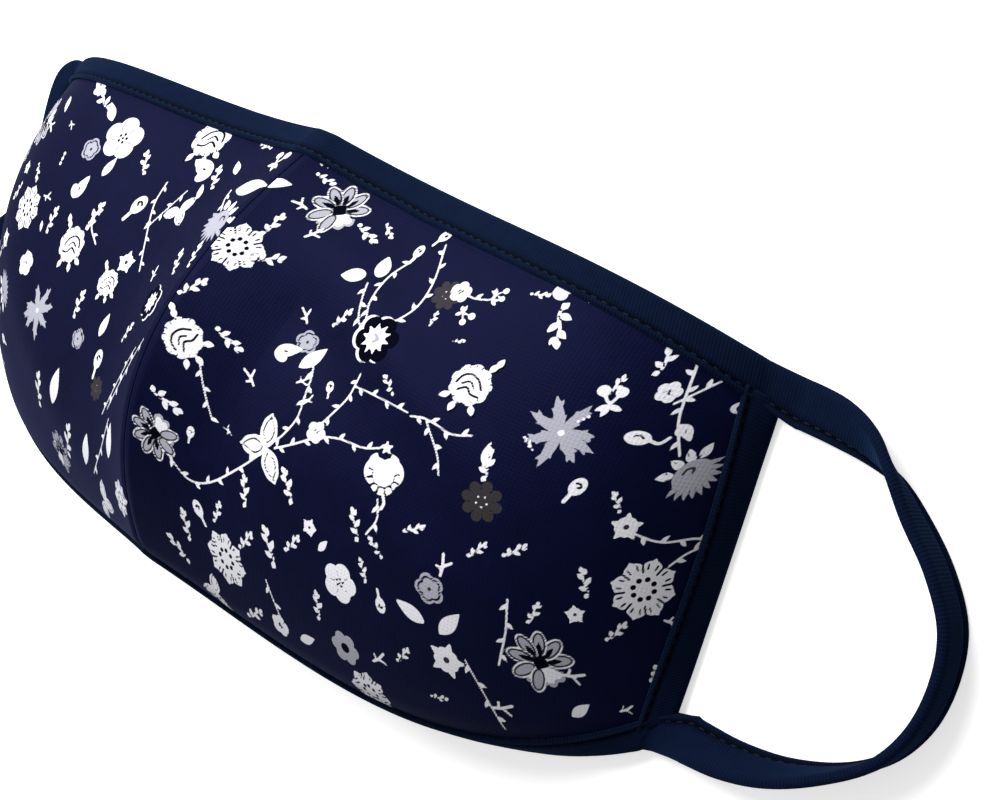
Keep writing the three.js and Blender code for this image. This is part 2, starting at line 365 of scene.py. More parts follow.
def windflower(x, y):
    yield "grey", np.maximum(round_flower(x, y, 13, 0.84, 0.16, 10), y + 0.5 * np.abs(x))
    yield "white", np.maximum(round_flower(x, y, 13, 0.72, 0.16, 10), y + 0.5 * np.abs(x) + 0.06)
    for turn in (4, 44, 82, 120, 160, 204, 250):
        c, s = heading(turn)
        yield "white", oval(x, y, 0.60 * c, 0.60 * s, 0.44, 0.25, turn)
        yield "brown", oval(x, y, 0.60 * c, 0.60 * s, 0.38, 0.19, turn)
        yield "grey", oval(x, y, 0.60 * c, 0.60 * s, 0.33, 0.14, turn)
        if turn < 180:
            yield "black", leaf(x, y, 0.2 * c, 0.2 * s, 0.50, 0.075, turn)
    yield "black", np.maximum(np.abs(x + 0.25 * y), np.abs(y - 0.25 * x)) - 0.20


def ring_star(x, y):
    yield "white", round_flower(x + 0.08, y + 0.02, 6, 1.0, 0.2, 20)
    yield "black", round_flower(x - 0.02, y, 6, 0.94, 0.22, 20)
    yield "white", round_flower(x, y, 10, 0.66, 0.45, 5, pointed=True)
    yield "white", disc(x, y, 0, 0, 0.42)
    yield "grey", line(x, y, [(-0.10, 0.14), (0.12, 0.02), (-0.02, -0.14)], 0.05)


def dotted_flower(x, y):
    yield "brown", round_flower(x, y, 8, 1, 0.3)
    yield "ground", rays(x, y, 8, 0.55, 0.85, 0.03, 22.5)
    yield "white", dots(x, y, 5, 0.26, 0.070)


def rose(x, y):
    for at, low, turn in (
        (-0.75, -0.55, 200), (-0.45, -0.85, 250), (0.25, -0.9, 290), (0.62, 0.72, 40), (0.9, 0.9, 60),
    ):
        yield "black", leaf(x, y, at + 0.08, low - 0.06, 0.5, 0.15, turn)
        yield "white", leaf(x, y, at, low, 0.5, 0.15, turn)
    yield "white", round_flower(x, y, 9, 0.95, 0.12)
    outer_curl = [(-0.66, 0.02), (-0.44, 0.36), (-0.08, 0.46), (0.30, 0.24), (0.50, -0.16)]
    yield "black", line(x, y, outer_curl, 0.048)
    yield "black", line(x, y, [(-0.40, 0.0), (-0.05, 0.14), (0.16, -0.12)], 0.042)
    yield "black", line(x, y, [(-0.52, -0.30), (-0.14, -0.14), (0.10, -0.42), (0.46, -0.50)], 0.048)
    yield "black", rays(x, y, 18, 0.78, 0.88, 0.024, 8)


def ragged_star(x, y):
    for turn, length in (
        (2, 0.8), (60, 0.95), (112, 1.05), (155, 0.98), (205, 0.92), (252, 1.05), (305, 0.9), (335, 0.95),
    ):
        c, s = heading(turn)
        yield "grey", leaf(x, y, 0, 0, length, 0.13, turn)
        for share, lean in ((0.45, 35), (0.62, -35), (0.25, -40)):
            yield "grey", leaf(x, y, share * length * c, share * length * s, 0.28, 0.05, turn + lean)
    yield "grey", disc(x, y, 0, 0, 0.24)
    yield "white", disc(x, y, 0, 0, 0.09)


def star_points(x, y, at_x, at_y, size):
    return round_flower((x - at_x) / size, (y - at_y) / size, 5, 1, 0.6, 90, pointed=True) * size


def heart(x, y):
    for at_x, at_y, radius in ((-0.34, 0.02, 0.62), (0.36, 0.05, 0.62), (0, -0.32, 0.64)):
        yield "white", disc(x, y, at_x, at_y, radius)
    yield "white", leaf(x, y, -0.62, 0.28, 0.62, 0.22, 68)
    yield "white", leaf(x, y, 0.62, 0.32, 0.62, 0.22, 118)
    for turn in (175, 205, 235, 265, 295, 325, 355):
        c, s = heading(turn)
        rim = np.abs(disc(x, y, 0.70 * c, -0.12 + 0.66 * s, 0.19)) - 0.032
        yield "black", np.maximum(rim, x * c + (y + 0.12) * s - 0.78)
    yield "white", line(x, y, [(0.05, -0.95), (0.12, -1.25), (0.0, -1.5)], 0.07)
    yield "white", star_points(x, y, 0.05, 1.1, 0.36)


def tulip(x, y):
    for at, turn in ((-0.6, 150), (-0.1, 105), (0.3, 70), (0.7, 25)):
        yield "white", leaf(x, y, at * 0.8, 0.62, 0.72, 0.20, turn)
    yield "grey", oval(x, y, 0, 0.15, 0.78, 0.62, 0)
    for turn in range(195, 350, 17):
        yield "grey", leaf(x, y, 0, 0.25, 1.28, 0.17, turn)
    yield "brown", line(x, y, [(-0.25, 0.42), (0.0, 0.5), (0.2, 0.36), (0.05, 0.22)], 0.045)
    yield "brown", rays(x, y - 0.25, 21, 0.75, 0.95, 0.018, 0)


def cup_flower(x, y):
    yield "grey", round_flower(x, y, 5, 1, 0.22, 18)
    yield "ground", round_flower(x, y, 5, 0.82, 0.22, 18)
    yield "grey", round_flower(x, y, 5, 0.68, 0.26, 18)
    yield "brown", disc(x, y, 0, 0, 0.13)


def puff_flower(x, y):
    yield "white", round_flower(x, y, 5, 1, 0.24, 80)
    yield "grey", rays(x, y, 5, 0.35, 0.6, 0.035, 44)
    yield "black", dots(x, y, 5, 0.20, 0.07, 20)
    yield "black", disc(x, y, 0, 0, 0.06)


def orchid(x, y):
    for turn in (95, 190, 300):
        c, s = heading(turn)
        yield "white", leaf(x, y, 0, 0, 1.3, 0.40, turn)
        yield "white", oval(x, y, 0.68 * c, 0.68 * s, 0.50, 0.36, turn)
        yield "brown", np.abs(leaf(x, y, 0.2 * c, 0.2 * s, 0.92, 0.24, turn)) - 0.032


def star(x, y):
    yield "white", round_flower(x, y, 5, 1.1, 0.55, 10, pointed=True)
    yield "white", round_flower(x, y, 5, 0.75, 0.3, 46)
    yield "brown", disc(x, y, 0, 0, 0.18)


def rosette(x, y):
    yield "grey", round_flower(x, y, 6, 1, 0.25)
    yield "black", disc(x, y, 0, 0, 0.3)


def one_leaf(x, y):
    yield "white", leaf(x, y, -1, 0, 2, 0.42, 0)


def broad_leaf(x, y):
    yield "white", oval(x, y, -0.15, 0, 0.8, 0.56, 0)
    yield "white", leaf(x, y, -0.6, 0, 1.6, 0.5, 0)


def heart_leaf(x, y):
    upper, lower = oval(x, y, -0.05, 0.15, 0.80, 0.50, 10), oval(x, y, -0.40, -0.30, 0.60, 0.42, -40)
    yield "white", np.minimum(upper, lower)
    yield "white", leaf(x, y, 0.2, 0.2, 0.95, 0.3, 12)
    yield "black", oval(x, y, -0.1, 0.05, 0.18, 0.07, 0)


def bud(x, y):
    yield "white", oval(x, y, 0, 0.15, 0.85, 0.62, 90)
    yield "black", line(x, y, [(-0.28, 0.30), (0.0, 0.45), (0.25, 0.25), (0.05, 0.05)], 0.085)
    yield "white", line(x, y, [(0, -0.6), (0.05, -1.5)], 0.16)


def oval_bud(x, y):
    yield "white", oval(x, y, 0, 0, 0.9, 0.55, 0)
    yield "black", line(x, y, [(-0.3, 0.1), (0.1, 0.2), (0.4, 0.0)], 0.07)
    yield "white", line(x, y, [(0.8, -0.1), (1.5, -0.25), (2.0, 0.25)], 0.12)


def two_buds(x, y):
    yield "white", np.minimum(disc(x, y, -0.38, 0.55, 0.32), disc(x, y, 0.48, 0.38, 0.30))
    yield "white", line(x, y, [(-0.35, 0.4), (0.0, -0.2), (0.42, 0.3)], 0.08)
    yield "white", line(x, y, [(0.0, -0.2), (-0.1, -0.9)], 0.08)
    for turn in (200, 240, 330):
        yield "black", leaf(x, y, 0.06, -0.45, 0.75, 0.17, turn)
        yield "white", leaf(x, y, 0.0, -0.35, 0.75, 0.17, turn)


def sprig(x, y):
    """A twig with leaves by turns on either side."""
    yield "white", line(x, y, [(-1, 0.05), (-0.4, -0.06), (0.2, 0.08), (0.85, 0)], 0.065)
    for at, turn, length in (
        (-0.75, 135, 0.42), (-0.5, 55, 0.62), (-0.1, -45, 0.66), (0.3, 40, 0.6), (0.6, -35, 0.5),
        (0.75, 10, 0.5),
    ):
        yield "black", leaf(x, y, at + 0.05, -0.07, length, 0.15, turn)
        yield "white", leaf(x, y, at, 0, length, 0.17, turn)


def twig(x, y):
    """A bare fork of three points."""
    yield "white", line(x, y, [(-0.9, -0.1), (-0.1, 0.05), (0.9, 0.5)], 0.13)
    yield "white", line(x, y, [(-0.1, 0.05), (0.6, -0.5)], 0.12)
    yield "white", line(x, y, [(-0.4, 0.0), (-0.3, 0.6)], 0.11)


def specks(x, y):
    for at in (-0.8, 0.0, 0.8):
        yield "white", disc(x, y, at, 0.15 * at, 0.30)


def runner(x, y, points):
    """A creeping stem, in millimetres, with small leaves by turns on either side."""
    yield "white", line(x, y, points, 0.23)
    leaf_spacing, leaf_length, leaf_width, leaf_angle, head_start = 3.4, 2.1, 0.42, 48, 1.6
    way = catmull(points, 8 * len(points))
    steps = np.hypot(*np.diff(way, axis=0).T)
    gone, side = head_start, 1
    for at, step, ahead in zip(way, steps, np.diff(way, axis=0)):
        gone += step
        if gone > leaf_spacing:
            gone, side = 0, -side
            turn = math.degrees(math.atan2(ahead[1], ahead[0])) + leaf_angle * side
            yield "white", leaf(x, y, at[0], at[1], leaf_length, leaf_width, turn)


# Where the flowers lie on each half: flower, millimetres out from the seam and up from the middle
# line, radius, turn in degrees. A later flower covers an earlier one.
chart = {
    "left": [
        (daisy, 5, 23, 6.2, 20), (windflower, 17.6, 42, 6.9, 24), (ring_star, 49, 20, 5.8, 0),
        (dotted_flower, 56.5, 36, 3.7, 0), (puff_flower, 59, 38, 2.6, 20), (rose, 74, 21, 5.0, 15),
        (ragged_star, 95.6, 19, 8.0, 10), (cup_flower, 31.5, 12, 3.1, 20), (heart_leaf, 28.7, 7.5, 3.2, 20),
        (one_leaf, 35.5, 9.5, 4.2, 62), (broad_leaf, 33.0, 30.0, 3.1, 205),
        (broad_leaf, 37.5, 35.0, 3.1, 110), (bud, 42, 41.8, 2.0, 0), (bud, 45, 47.5, 2.0, -20),
        (one_leaf, 1, 41, 3.6, 20), (rose, 6.5, -2, 5.2, 90), (windflower, 7.4, -26, 5.9, 130),
        (orchid, 35.5, -14.0, 6.2, 10), (heart, 65, -4.5, 5.0, 20), (puff_flower, 61.5, -31.6, 4.3, 0),
        (daisy, 29, -44, 5.8, 0), (bud, 20.5, -37.5, 2.2, 40), (sprig, 42, -34, 4.0, 120),
        (bud, 72, -31, 2.0, 200), (dotted_flower, 87.5, 0, 4.4, 0), (cup_flower, 82.7, -22, 3.4, 30),
        (one_leaf, 79.0, -29.0, 3.8, 165), (one_leaf, 88, -27.5, 3.8, 60), (twig, 84.5, -16, 2.4, 80),
        (star, 88, -36, 3.8, 0), (windflower, 107, -28, 6.7, 20), (daisy, 122.5, -7, 6.5, 0),
        (tulip, 121.6, 16.4, 4.6, 55), (oval_bud, 108.5, 22, 2.6, 5), (sprig, 100, 30.5, 2.4, 80),
        (two_buds, 100.5, 28, 3.6, 20), (sprig, 105, 37.5, 3.2, 95), (specks, 98, 23, 1.2, 40),
        (puff_flower, 108.8, 31.5, 2.2, 0), (heart_leaf, 115.5, 24.5, 2.0, 300), (bud, 122, 30.5, 2.0, 100),
        (twig, 117, 38.5, 2.2, 40), (sprig, 85.5, 46.5, 2.2, -10), (heart_leaf, 80.5, 46.8, 3.0, 20),
        (sprig, 83.5, 39.5, 4.6, -65), (sprig, 76.0, 44.0, 2.0, 20), (bud, 103, 9.5, 2.4, 340),
        (star, 114.5, 4.6, 2.9, 20), (sprig, 111, 9.0, 2.2, 130), (sprig, 111.5, -8.5, 3.0, 120),
        (sprig, 120, -17, 2.6, 60), (twig, 130.5, -13, 2.0, -20), (star, 111.5, -15.5, 2.0, 30),
        (sprig, 104, -18, 2.4, 80), (twig, 113.5, -29, 2.4, 0), (sprig, 8, 31.5, 3.2, 85),
        (sprig, 12.5, 24, 3.4, 35), (sprig, 90, -10, 2.4, 60), (sprig, 76, -12, 2.4, 40),
        (sprig, 67, -26, 2.4, 120), (one_leaf, 84.5, 9.5, 2.6, 100), (sprig, 85.5, 7.5, 3.4, 110),
        (sprig, 91, 14.8, 1.6, 150), (sprig, 44, -18.5, 3.6, 130), (sprig, 17, -43, 3.2, 110),
        (sprig, 35, -36.5, 3.0, 60), (puff_flower, 46, -4.5, 2.5, 0), (sprig, 8, -17.5, 4.0, -10),
        (bud, 15.5, -21.5, 1.6, 0), (specks, 129, -24, 1.8, 75), (one_leaf, 115.5, -36, 2.6, 50),
        (rosette, 63, -46, 3.6, 0), (bud, 43.5, 5.5, 1.6, 20), (twig, 40.5, 0.5, 1.6, 50),
        (twig, 36.5, 3.5, 1.8, 30), (star, 51.8, -24, 2.0, 0), (one_leaf, 56, -26, 1.9, 60),
        (sprig, 2.5, 9.5, 3.4, 60), (sprig, 15.5, 3.0, 3.6, -10), (twig, 24, -16, 1.5, 150),
        (sprig, 9, 47.0, 2.6, 0), (sprig, 27.5, 40.0, 3.4, -12), (twig, 9.5, 39, 2.2, 160),
        (twig, 17.5, 34, 2.2, 40), (sprig, 31.5, 43, 2.2, -30), (sprig, 37.5, 20.5, 2.8, 60),
        (twig, 27.5, 17.5, 2.2, 120), (sprig, 63, -17.5, 3.2, 120), (sprig, 69, -19.5, 2.4, 150),
        (sprig, 33, -26, 3.2, 110), (sprig, 5, 51.0, 3.0, -10), (two_buds, 63.5, 33.8, 2.6, 250),
        (two_buds, 67.8, 41.0, 2.2, 290), (sprig, 57.5, 30.0, 1.8, 100), (twig, 100, -42, 2.4, 10),
        (daisy, 68, -54, 4.8, 0), (sprig, 36, -53, 3.0, 40), (orchid, 24, -55, 3.6, 0),
        (sprig, 56, -40, 3.0, 100), (sprig, 48, -30, 2.8, 60), (sprig, 26, -35, 2.6, 80),
        (twig, 24, -2, 2.4, 130), (sprig, 58, 13, 2.4, 150), (sprig, 97, -7, 2.6, 50),
        (twig, 72, -44, 2.2, 30), (sprig, 78, -40, 2.4, 60), (one_leaf, 52, -50, 2.6, 30),
        (sprig, 14, -50, 3.2, 150), (puff_flower, 44, -51, 2.4, 0), (sprig, 86, -46, 2.0, 20),
        (twig, 124.5, -33, 1.6, 20), (one_leaf, 133.5, -5.0, 1.6, 70), (bud, 133.5, 3.6, 1.5, 290),
        (sprig, 66, 28.2, 1.4, 30),
    ],
    "right": [
        (tulip, 5.5, 25.5, 5.4, 20), (two_buds, 6, 46.5, 3.6, 0), (sprig, 16.5, 49, 2.6, 10),
        (one_leaf, 5.5, 37.5, 6.0, 159), (rose, 36, 46, 6.0, 0), (heart_leaf, 30.5, 37.5, 4.4, 0),
        (sprig, 23.5, 36.5, 3.6, 60), (one_leaf, 19, 41, 2.6, 45), (one_leaf, 25, 32, 2.4, 60),
        (orchid, 27.5, 25.5, 4.4, 30), (sprig, 3.5, 16.5, 3.6, 70), (sprig, 10.5, 13, 3.6, 60),
        (bud, 43, 22, 3.4, 20), (ring_star, 11.5, 1.5, 5.0, 0), (star, 35, 7.5, 3.2, 0),
        (rose, 37.5, 0.5, 4.0, 0), (puff_flower, 62, 36.5, 6.4, 0), (one_leaf, 60, 28, 3.2, 100),
        (sprig, 78, 43, 4.4, 20), (one_leaf, 72, 41.5, 3.4, 40), (heart_leaf, 84, 45.5, 3.4, 0),
        (heart_leaf, 66, 19.5, 3.6, 90), (sprig, 55, 14.5, 4.0, 100), (rose, 58, 5, 5.4, 0),
        (ragged_star, 62, -15, 7.6, 0), (one_leaf, 31, -9.5, 3.4, 95), (bud, 28, -18.5, 3.0, 0),
        (dotted_flower, 25, -25, 3.2, 0), (one_leaf, 46, -30, 5.0, 100), (one_leaf, 12.5, -35, 4.6, 95),
        (one_leaf, 28, -41, 4.2, 100), (daisy, 5, -47.5, 4.6, 0), (sprig, 50, 33, 3.4, 60),
        (cup_flower, 70, 30, 3.4, 0), (sprig, 71, 8, 3.6, 95), (puff_flower, 75, -6, 3.4, 0),
        (sprig, 45, -8, 3.6, 95), (cup_flower, 40, -16, 2.8, 0), (sprig, 18, -8, 3.0, 120),
        (twig, 20, 8, 2.2, 60), (sprig, 39, -42, 4.4, 110), (sprig, 56, -34, 4.4, 100),
        (windflower, 46, -47, 5.2, 0), (orchid, 20, -52, 4.4, 0),
    ],
}
# Stems that join the flowers, as points they pass.
stems = {
    "left": [
        [(36.5, 8), (38, 5), (39, 1), (40, -4), (38.5, -9), (36.5, -12)],
        [(37.5, 30), (39.5, 26), (42, 22), (45, 20)], [(42.5, 40), (40.5, 34), (41.5, 27), (44, 22.5)],
        [(50, 24.5), (52, 31), (51, 38), (47, 46)], [(49.5, 9), (57, 9.6), (65, 9.8)],
        [(58, 38.5), (63, 38), (69, 40)], [(66, 9.5), (70, 10.5), (76, 10.0), (80, 11.5)],
        [(70, 10), (75, 5), (77, 1)], [(49.5, 12), (49, 6), (47.5, 1), (46, -3)],
        [(11, -29), (17, -32), (23, -29.5), (30, -22), (34.5, -16)],
        [(47, -5), (52, -3), (58, -2), (62, 0)], [(37.5, -13), (42, -9.5), (46, -6)],
        [(12.5, -5.5), (15.5, -10.5), (19.5, -16)], [(112, 30.5), (110.5, 36), (108.8, 41)],
        [(110.8, 29.5), (114, 33), (118, 37.5)], [(112, 30.5), (113.5, 26), (117, 20)],
        [(116.5, 3.6), (122, 3.0), (128, 4.6), (132, 4.4)], [(125.5, -1.5), (128, 1.5), (132, 4)],
        [(98.5, -17), (99.5, -24), (99, -32)], [(92, -34), (96, -40), (100, -47)],
        [(41, -42), (43.5, -47), (46, -52)], [(66, -10), (67.5, -14), (66, -18)],
    ],
    "right": [
        [(13, 35), (12, 32), (9, 29)], [(39, 31), (38, 24), (33, 15), (28, 7)],
        [(30, 31), (32, 26), (35, 19)], [(3, -7), (8, -16), (16, -28)], [(7, -10), (12, -19), (19, -30)],
        [(55, 18), (54, 12), (49, 8)], [(14, -30), (18, -38), (24, -46)],
    ],
}
# Toward its ear the right half repeats the left half's flowers from beyond the cheek, turned half
# round: a flower so far out from the seam goes to round_again less that.
cheek, round_again = 68, 208
# How far around its middle a stem or a flower can leave ink, in millimetres and in radii.
stem_reach, flower_reach = 24, 2.4


def inks_on(side, place, is_face):
    """How far each point of the face lies inside or outside each ink, in millimetres."""
    inks = {ink: np.full(len(place), far_off) for ink in INKS}
    rows = [(partial(runner, points=way), *np.mean(way, 0), 1.0, 0.0) for way in stems[side]]
    rows += chart[side]
    if side == "right":
        for flower, x, y, size, turn in chart["left"]:
            if x > cheek:
                rows.append((flower, round_again - x, -y, size, turn + 180))
    for flower, at_x, at_y, size, turn in rows:
        stem = isinstance(flower, partial)
        reach = stem_reach if stem else flower_reach * size
        near = np.flatnonzero(is_face & (np.abs(place - (at_x, at_y)).max(1) < reach))
        x, y = place[near].T if stem else (place[near] - (at_x, at_y)).T / size
        for ink, distance in flower(*turned(x, y, turn)):
            distance = distance * size
            for other in INKS:
                if other != ink:
                    inks[other][near] = np.maximum(inks[other][near], -distance)
            if ink != "ground":
                inks[ink][near] = np.minimum(inks[ink][near], distance)
    return inks


def carry_inks(thing, inks):
    """Keep the inks' distances on the cotton's points, where its look reads them."""
    for name, distance in inks.items():
        attribute = thing.data.attributes.new(name, "FLOAT", "POINT")
        attribute.data.foreach_set("value", distance.astype(np.float32))


def nodes_of(name, roughness):
    """A new material with its node tree and its shader."""
    material = bpy.data.materials.new(name)
    material.use_nodes = True
    tree = material.node_tree
    shader = tree.nodes["Principled BSDF"]
    shader.inputs["Roughness"].default_value = roughness
    return material, tree, shader


def node(tree, kind, inputs=(), **settings):
    made = tree.nodes.new(kind)
    for key, value in settings.items():
        setattr(made, key, value)
    for socket, value in dict(inputs).items():
        if isinstance(value, bpy.types.NodeSocket):
            tree.links.new(value, made.inputs[socket])
        else:
            made.inputs[socket].default_value = value
    return made


def blend(tree, share, first, second):
    return node(tree, "ShaderNodeMix", {0: share, 6: first, 7: second}, data_type="RGBA").outputs[2]


def soft_fuzz(shader, weight, tint):
    shader.inputs["Sheen Weight"].default_value = weight
    shader.inputs["Sheen Roughness"].default_value = 0.45
    shader.inputs["Sheen Tint"].default_value = tint


def wave_scale(map_width, pitch):
    """The wave texture's scale that gives one thread or stitch every so many millimetres."""
    return map_width / pitch / 20 * math.pi


# The look of the cotton: mottled navy, a fine plain weave and the inks on top.
bare_dark, bare_light = (0.0006, 0.0009, 0.006, 1), (0.0032, 0.0041, 0.026, 1)
thread_pitch = 0.42
ink_edge = 0.06
bare_gloss, ink_gloss = 0.09, 0.01
printed_cotton, tree, shader = nodes_of("printed_cotton", 0.62)
cotton_map = node(tree, "ShaderNodeUVMap", uv_map="cotton").outputs[0]
mottle = {"Vector": cotton_map, "Scale": 16.0, "Detail": 8.0, "Roughness": 0.75}
tone = node(tree, "ShaderNodeTexNoise", mottle).outputs[0]
colour = blend(tree, tone, bare_dark, bare_light)
for ink, ink_colour in INKS.items():
    distance = node(tree, "ShaderNodeAttribute", attribute_name=ink).outputs["Fac"]
    ink_map = {"Value": distance, 1: ink_edge, 2: -ink_edge, 3: 0.0, 4: 1.0}
    cover = node(tree, "ShaderNodeMapRange", ink_map).outputs[0]
    colour = blend(tree, cover, colour, ink_colour)
tree.links.new(colour, shader.inputs["Base Color"])
soft_fuzz(shader, 0.06, (0.22, 0.25, 1.0, 1))
# The last ink, black, is dull. The bare cotton has a soft gloss on the side toward the light.
tree.links.new(node(tree, "ShaderNodeMapRange", {"Value": cover, 3: bare_gloss, 4: ink_gloss}).outputs[0],
               shader.inputs["Specular IOR Level"])
shader.inputs["Specular Tint"].default_value = (0.24, 0.30, 1.0, 1)
weave = []
for direction in ("X", "Y"):
    wave = {"Vector": cotton_map, "Scale": wave_scale(cotton_map_width, thread_pitch), "Distortion": 1.2,
            "Detail": 1.0, "Detail Scale": 2.0}
    weave.append(node(tree, "ShaderNodeTexWave", wave, bands_direction=direction).outputs[1])
threads = node(tree, "ShaderNodeMath", {0: weave[0], 1: weave[1]}, operation="MULTIPLY").outputs[0]
slub = node(tree, "ShaderNodeTexNoise", {"Vector": cotton_map, "Scale": 260.0, "Detail": 2.0}).outputs[0]
relief = node(tree, "ShaderNodeMath", {0: threads, 1: slub}, operation="ADD").outputs[0]
bump = node(tree, "ShaderNodeBump", {"Height": relief, "Strength": 0.35, "Distance": 0.0001})
tree.links.new(bump.outputs[0], shader.inputs["Normal"])

for side in ("left", "right"):
    thing, place, is_face = printed_half(side)
    thing.data.materials.append(printed_cotton)
    carry_inks(thing, inks_on(side, place, is_face))
    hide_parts(f"panel_{side}")
    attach(thing, "root")

# Edge tape and ear loops. One long strip of fine jersey knit, folded over the nose edge, on past
# the corner as an ear loop, back along the chin edge and round the other ear. One row of stitches
# runs all the way, just inside the folded-in edge.
# The section: share of the way in from the fold, and how thick the tape is there.
tape_section = [
    (1.00, 0.02), (0.995, 0.60), (0.955, 1.06), (0.90, 1.14), (0.85, 0.94), (0.81, 0.48), (0.77, 0.48),
    (0.72, 0.86), (0.60, 1.04), (0.42, 1.08), (0.22, 1.10), (0.06, 1.10),
]
tape_reach, tape_thickness = 6.7, 1.1
loop_reach, loop_half, loop_thickness = 8.4, 0.05, tape_thickness - 0.05
over_cotton = cotton_thickness / 2 + 0.02
off_the_table = 0.02
loops = {
    # x, y and how far the strap is tipped up on its stitched edge, in degrees
    "left": [
        (121.6, 37, 0), (128, 37.2, 5), (135, 37, 18), (142, 35.8, 43), (148.5, 32.6, 72), (155, 27.3, 88),
        (162.5, 20.8, 90), (168.3, 13, 90), (170.4, 4, 90), (169.6, -5.5, 90), (165.5, -14, 88),
        (158, -20.8, 84), (148.5, -26.2, 70), (139, -29.2, 54), (131, -30.4, 40), (124.8, -31.2, 18),
    ],
    "right": [
        (121.6, 37, 0), (124.6, 37, 0), (128, 34.2, 0), (129, 28, 0), (128.7, 17.5, 0), (129, 8, 0),
        (130, -1, 4), (133, -9.5, 14), (138.5, -16, 40), (146, -19.5, 72), (153.5, -22.5, 88), (159, -28, 90),
        (159.5, -35, 90), (154, -39.5, 88), (145.5, -39.5, 74), (136, -36, 46), (130, -32.5, 26),
        (124.8, -31.2, 14),
    ],
}


def section(reach, half, thickness):
    """The folded strip's outline as (inward, out) pairs. It runs from the front edge round the fold
    to the back edge, and home along the inside."""
    front = [(share * reach, half + lift * thickness / tape_thickness) for share, lift in tape_section]
    turn = np.radians([72, 48, 24, 0, -24, -48, -72])
    outer = half + thickness
    fold = [(-outer * math.cos(a), outer * math.sin(a)) for a in turn]
    inside = [(reach * s, -half) for s in (0.98, 0.6, 0.2)]
    inside += [(-half * math.cos(a), half * math.sin(a)) for a in np.radians([-60, 0, 60])]
    inside += [(reach * s, half) for s in (0.2, 0.6, 0.98)]
    ring = front + fold + [(a, -b) for a, b in reversed(front)] + inside
    return np.array(ring + ring[:1])


def on_edge(edge, side, places, ring):
    """The section laid along an edge of the cotton."""

    def share_of(inward):
        place = np.broadcast_to(np.asarray(places, float)[:, None], (len(places), inward.shape[-1]))
        inward = np.broadcast_to(inward, place.shape)
        if edge == "ear":
            return 1 - inward, place
        return place, (inward if edge == "nose" else 1 - inward)

    near_rim = 0.02
    rim, rim_out = cloth(side, *share_of(np.zeros(1)))
    near, _ = cloth(side, *share_of(np.full(1, near_rim)))
    per_share = np.linalg.norm(near - rim, axis=-1) / near_rim
    inward, lift = ring[:, 0], ring[:, 1]
    point, out = cloth(side, *share_of(np.abs(inward)[None, :] / per_share))
    beyond = (inward < 0)[None, :, None]
    point = np.where(beyond, 2 * rim - point, point)
    out = np.where(beyond, rim_out, out)
    return point + out * lift[..., None]


def in_loop(side, ring):
    """The section carried along an ear loop, tipped up as it goes and resting on the table."""
    route = catmull(loops[side], 60)
    ahead = np.gradient(route[:, :2], axis=0)
    ahead /= np.linalg.norm(ahead, axis=1, keepdims=True)
    outward = np.stack([-ahead[:, 1], ahead[:, 0], 0 * ahead[:, 0]], -1)
    lean = np.radians(route[:, 2])[:, None]
    up = np.array([0, 0, 1.0])
    wide = outward * np.cos(lean) + up * np.sin(lean)
    face = up * np.cos(lean) - outward * np.sin(lean)
    breadth = ring[:, 0].max() - ring[:, 0].min()
    thick = ring[:, 1].max() - ring[:, 1].min()
    middle = np.concatenate([route[:, :2], (breadth * np.sin(lean) + thick * np.cos(lean)) / 2], 1)
    centre = (ring[:, 0].max() + ring[:, 0].min()) / 2
    point = (middle[:, None, :] - wide[:, None, :] * (ring[:, 0] - centre)[None, :, None]
             + face[:, None, :] * ring[:, 1][None, :, None])
    point[..., 0] *= side_sign[side]
    return point


tape_map_width = 100
# Painted shade: how much darker the knit is painted at the places of the section that lie in a groove, where
# shade falls.
groove_painted_shade = {0: 0.9, 1: 0.5, 4: 0.45, 5: 1.0, 6: 1.0, 7: 0.35}


def skin(name, points, close_ends=False):
    """A smooth skin over rows of section points, with a map that runs along it and round it."""
    rows, columns = points.shape[0] - 1, points.shape[1] - 1
    bm = bmesh.new()
    # Each point carries how much painted shade its colour gets where it lies in a groove.
    painted_groove_shade = bm.verts.layers.float.new("painted_groove_shade")
    grid = grid_mesh(bm, columns, rows)
    along = np.concatenate([[0], np.cumsum(np.linalg.norm(np.diff(points.mean(1), axis=0), axis=1))])
    around = np.concatenate([[0], np.cumsum(np.linalg.norm(np.diff(points[rows // 2], axis=0), axis=1))])
    place = {}
    for i, row in enumerate(grid):
        for j, vertex in enumerate(row):
            vertex.co = points[i, j] * mm
            place[vertex] = (along[i] / tape_map_width, around[j] / tape_map_width)
    uv = bm.loops.layers.uv.new("tape")
    for row in grid:
        for k, depth in groove_painted_shade.items():
            row[k][painted_groove_shade] = depth
    for face in bm.faces:
        for corner in face.loops:
            corner[uv].uv = place[corner.vert]
    bmesh.ops.remove_doubles(bm, verts=bm.verts, dist=1e-7)
    if close_ends:
        bmesh.ops.holes_fill(bm, edges=[e for e in bm.edges if e.is_boundary], sides=0)
    bmesh.ops.recalc_face_normals(bm, faces=bm.faces)
    return link(name, bm)


mask_ring = section(tape_reach, over_cotton, tape_thickness)
loop_ring = section(loop_reach, loop_half, loop_thickness)
to_the_ear = np.linspace(0.012, 0.985, 80)
to_the_seam = np.linspace(0.985, 0.012, 80)
stations = []
for edge, first, second in (("nose", "right", "left"), ("chin", "left", "right")):
    stations.append(on_edge(edge, first, to_the_seam, mask_ring))
    stations.append(on_edge(edge, second, to_the_ear, mask_ring))
    loop = in_loop(second, loop_ring)
    stations.append((loop if edge == "nose" else loop[::-1])[2:-2])
keys = np.concatenate(stations)
keys = np.concatenate([keys, keys[:1]])
band_points = catmull(keys, 2 * len(keys))
band_points[-1] = band_points[0]
band_points[..., 2] = np.maximum(band_points[..., 2], off_the_table)
band = skin("edge_tape_and_loops", band_points)
